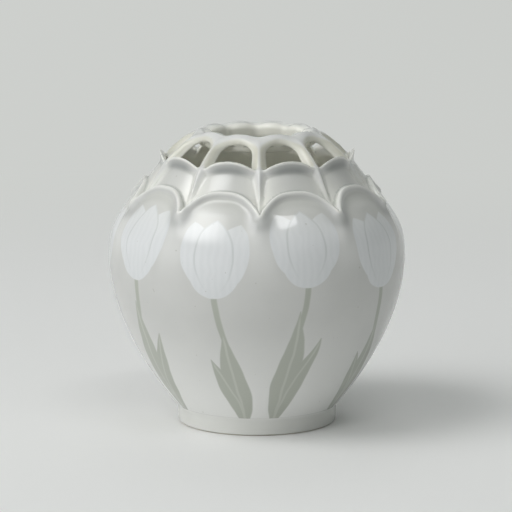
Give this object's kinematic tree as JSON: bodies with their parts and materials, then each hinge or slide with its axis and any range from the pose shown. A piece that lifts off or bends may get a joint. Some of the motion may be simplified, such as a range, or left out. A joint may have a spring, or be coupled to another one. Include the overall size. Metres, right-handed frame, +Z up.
{
  "type": "pierced vase",
  "caption": "Squat round porcelain vase on a low foot ring, closed by a pierced crown of lipped petals, flared scales, keeled ribs and arched windows under a lobed mouth ring.",
  "frame": {"origin": "centre of the foot ring's resting face, on the surface the vase stands on", "axes": "+Z up along the vase's axis; -Y towards the viewer, through the rib between two petals"},
  "size_m": [0.1506, 0.1506, 0.15],
  "materials": {
    "glaze": "clear gloss glaze over pale grey-white porcelain, creamy where it thins on edges",
    "bare_clay": "glazed on its sides, ground and unglazed where it rests"
  },
  "bodies": {
    "root": {"belly_wall": "glaze", "floor_disc": "glaze", "foot_ring": "bare_clay", "mouth_collar": "glaze", "scale_01": "glaze", "scale_02": "glaze", "scale_03": "glaze", "scale_04": "glaze", "scale_05": "glaze", "scale_06": "glaze", "scale_07": "glaze", "scale_08": "glaze", "scale_09": "glaze", "scale_10": "glaze", "rib_01": "glaze", "rib_02": "glaze", "rib_03": "glaze", "rib_04": "glaze", "rib_05": "glaze", "rib_06": "glaze", "rib_07": "glaze", "rib_08": "glaze", "rib_09": "glaze", "rib_10": "glaze"}
  },
  "joints": []
}
